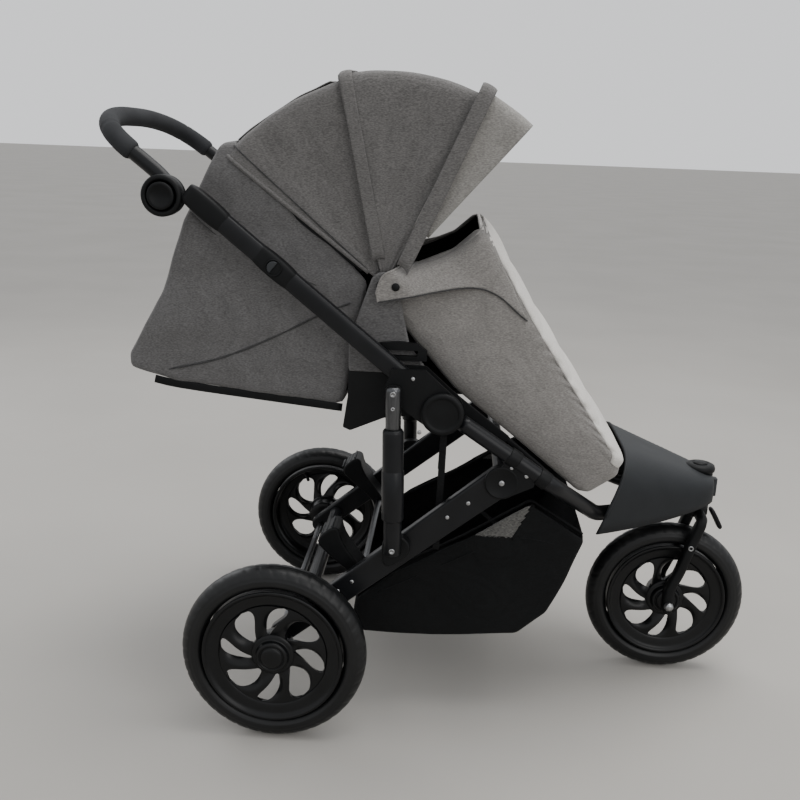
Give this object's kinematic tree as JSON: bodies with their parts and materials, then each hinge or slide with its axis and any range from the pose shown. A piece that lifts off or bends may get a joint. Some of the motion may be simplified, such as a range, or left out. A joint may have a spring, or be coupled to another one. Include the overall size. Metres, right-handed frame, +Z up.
{
  "type": "baby stroller",
  "caption": "three-wheeled baby stroller with reclined seat, hooded canopy, foot cover, footrest, basket, telescopic rear struts, swivelling front fork and tilting handle",
  "frame": {"origin": "bottom centre of the bounding box, on the floor", "axes": "+X forward towards the front wheel, +Y to the stroller's left, +Z up"},
  "size_m": [1.1445, 0.648, 1.0602],
  "materials": {
    "frame": "satin black powder coat",
    "moulding": "fine-textured black moulded plastic",
    "grip": "soft dark grey foam sleeve",
    "tyre": "black tyre rubber with a treaded shoulder",
    "rim": "satin black moulded rim",
    "steel": "zinc-plated steel",
    "melange": "grey melange canvas",
    "mesh_cloth": "black basket cloth",
    "lining": "black padded lining"
  },
  "bodies": {
    "chassis": {"front_tube_right": "frame", "front_tube_left": "frame", "cross_tube": "frame", "steering_head": "moulding", "footrest": "moulding", "hub_housing_right": "moulding", "hub_housing_left": "moulding", "leg_bracket_right": "moulding", "leg_bracket_left": "moulding", "seat_plate_right": "moulding", "seat_plate_left": "moulding", "seat_adapter_right": "moulding", "seat_adapter_left": "moulding", "seat_base": "moulding", "seat_pad": "lining", "seat_hoop": "frame", "seat_back": "melange", "foot_cover": "melange", "basket": "mesh_cloth", "canopy_rear": "melange"},
    "upper_frame": {"upper_tube_right": "frame", "upper_tube_left": "frame", "hub_cover_right": "moulding", "hub_cover_left": "moulding"},
    "handle": {"handle_arm_right": "frame", "handle_arm_left": "frame", "handle_grip": "grip"},
    "rear_frame": {"rear_leg_right": "frame", "rear_leg_left": "frame", "axle_beam": "frame", "rear_axle": "steel"},
    "strut": {"strut_sleeve_right": "frame", "strut_sleeve_left": "frame"},
    "strut_slide": {"strut_rod_right": "frame", "strut_rod_left": "frame"},
    "brake": {"brake_bar": "steel", "brake_pedal_right": "moulding", "brake_pedal_left": "moulding"},
    "rear_wheel_right": {"rear_wheel_right_tyre": "tyre", "rear_wheel_right_rim": "rim"},
    "rear_wheel_left": {"rear_wheel_left_tyre": "tyre", "rear_wheel_left_rim": "rim"},
    "fork": {"fork": "moulding", "fork_bolt_right": "steel", "fork_bolt_left": "steel", "front_axle": "steel"},
    "front_wheel": {"front_wheel_tyre": "tyre", "front_wheel_rim": "rim"},
    "swivel_lock": {"swivel_lock": "moulding"},
    "wheel_release": {"wheel_release": "moulding"},
    "tilt_button_right": {"tilt_button_right": "moulding"},
    "tilt_button_left": {"tilt_button_left": "moulding"},
    "fold_release_right": {"fold_release_right": "moulding"},
    "fold_release_left": {"fold_release_left": "moulding"},
    "backrest": {"backrest_board": "moulding", "backrest_pad": "lining"},
    "leg_rest": {"leg_rest": "moulding"},
    "canopy_middle": {"canopy_middle_section": "melange"},
    "canopy_front": {"canopy_front_bow": "melange"},
    "visor": {"canopy_visor": "melange"}
  },
  "joints": [
    {"name": "frame_fold", "type": "hinge", "parent": "chassis", "child": "upper_frame", "pos_m": [-0.00475, 0, 0.552], "axis": [0, 1, 0], "range_deg": [0, 128]},
    {"name": "handle_tilt", "type": "hinge", "parent": "upper_frame", "child": "handle", "pos_m": [-0.43475, 0, 0.861], "axis": [0, 1, 0], "range_deg": [-60, 50]},
    {"name": "rear_leg_fold", "type": "hinge", "parent": "chassis", "child": "rear_frame", "pos_m": [0.09325, 0, 0.441], "axis": [0, 1, 0], "range_deg": [0, 30]},
    {"name": "strut_swing", "type": "hinge", "parent": "rear_frame", "child": "strut", "pos_m": [-0.07275, 0, 0.333], "axis": [0, -1, 0], "range_deg": [0, 19.37]},
    {"name": "strut_telescope", "type": "slide", "parent": "strut", "child": "strut_slide", "axis": [0.0277, 0, -0.9996], "range_m": [0, 0.09562]},
    {"name": "brake_pedal_press", "type": "hinge", "parent": "rear_frame", "child": "brake", "pos_m": [-0.12675, 0, 0.24], "axis": [0, -1, 0], "range_deg": [0, 14]},
    {"name": "rear_wheel_right_spin", "type": "hinge", "parent": "rear_frame", "child": "rear_wheel_right", "pos_m": [-0.25675, -0.297, 0.15], "axis": [0, 1, 0], "continuous": true},
    {"name": "rear_wheel_left_spin", "type": "hinge", "parent": "rear_frame", "child": "rear_wheel_left", "pos_m": [-0.25675, 0.297, 0.15], "axis": [0, 1, 0], "continuous": true},
    {"name": "fork_swivel", "type": "hinge", "parent": "chassis", "child": "fork", "pos_m": [0.46525, 0, 0.33], "axis": [0, 0, 1], "continuous": true},
    {"name": "front_wheel_spin", "type": "hinge", "parent": "fork", "child": "front_wheel", "pos_m": [0.42725, 0, 0.145], "axis": [0, 1, 0], "continuous": true},
    {"name": "swivel_lock_slide", "type": "slide", "parent": "chassis", "child": "swivel_lock", "axis": [0, 0, -1], "range_m": [0, 0.006]},
    {"name": "wheel_release_squeeze", "type": "hinge", "parent": "fork", "child": "wheel_release", "pos_m": [0.49575, 0, 0.32], "axis": [0, -1, 0], "range_deg": [0, 12], "stiffness_Nm_per_rad": 0.4},
    {"name": "tilt_button_right_press", "type": "slide", "parent": "upper_frame", "child": "tilt_button_right", "axis": [0, 1, 0], "range_m": [0, 0.004], "stiffness_N_per_m": 300},
    {"name": "tilt_button_left_press", "type": "slide", "parent": "upper_frame", "child": "tilt_button_left", "axis": [0, -1, 0], "range_m": [0, 0.004], "stiffness_N_per_m": 300},
    {"name": "fold_release_right_slide", "type": "slide", "parent": "upper_frame", "child": "fold_release_right", "axis": [-0.7793, 0, 0.6266], "range_m": [0, 0.006], "stiffness_N_per_m": 300},
    {"name": "fold_release_left_slide", "type": "slide", "parent": "upper_frame", "child": "fold_release_left", "axis": [-0.7793, 0, 0.6266], "range_m": [0, 0.006], "stiffness_N_per_m": 300},
    {"name": "backrest_recline", "type": "hinge", "parent": "chassis", "child": "backrest", "pos_m": [-0.16175, 0, 0.572], "axis": [0, 1, 0], "range_deg": [0, 50]},
    {"name": "leg_rest_tilt", "type": "hinge", "parent": "chassis", "child": "leg_rest", "pos_m": [0.08125, 0, 0.548], "axis": [0, -1, 0], "range_deg": [0, 10]},
    {"name": "canopy_middle_fold", "type": "hinge", "parent": "chassis", "child": "canopy_middle", "pos_m": [-0.10475, 0, 0.737], "axis": [0, -1, 0], "range_deg": [0, 34]},
    {"name": "canopy_front_fold", "type": "hinge", "parent": "canopy_middle", "child": "canopy_front", "pos_m": [-0.10475, 0, 0.737], "axis": [0, -1, 0], "range_deg": [0, 34]},
    {"name": "visor_tuck", "type": "hinge", "parent": "canopy_front", "child": "visor", "pos_m": [-0.10475, 0, 0.737], "axis": [0, -1, 0], "range_deg": [0, 8]}
  ],
  "couplings": [
    {"joint": "rear_leg_fold", "follows": "frame_fold", "ratio": 0.23438},
    {"joint": "strut_swing", "follows": "frame_fold", "ratio": 0.15133},
    {"joint": "strut_telescope", "follows": "frame_fold", "m_per_rad": 0.042796}
  ]
}
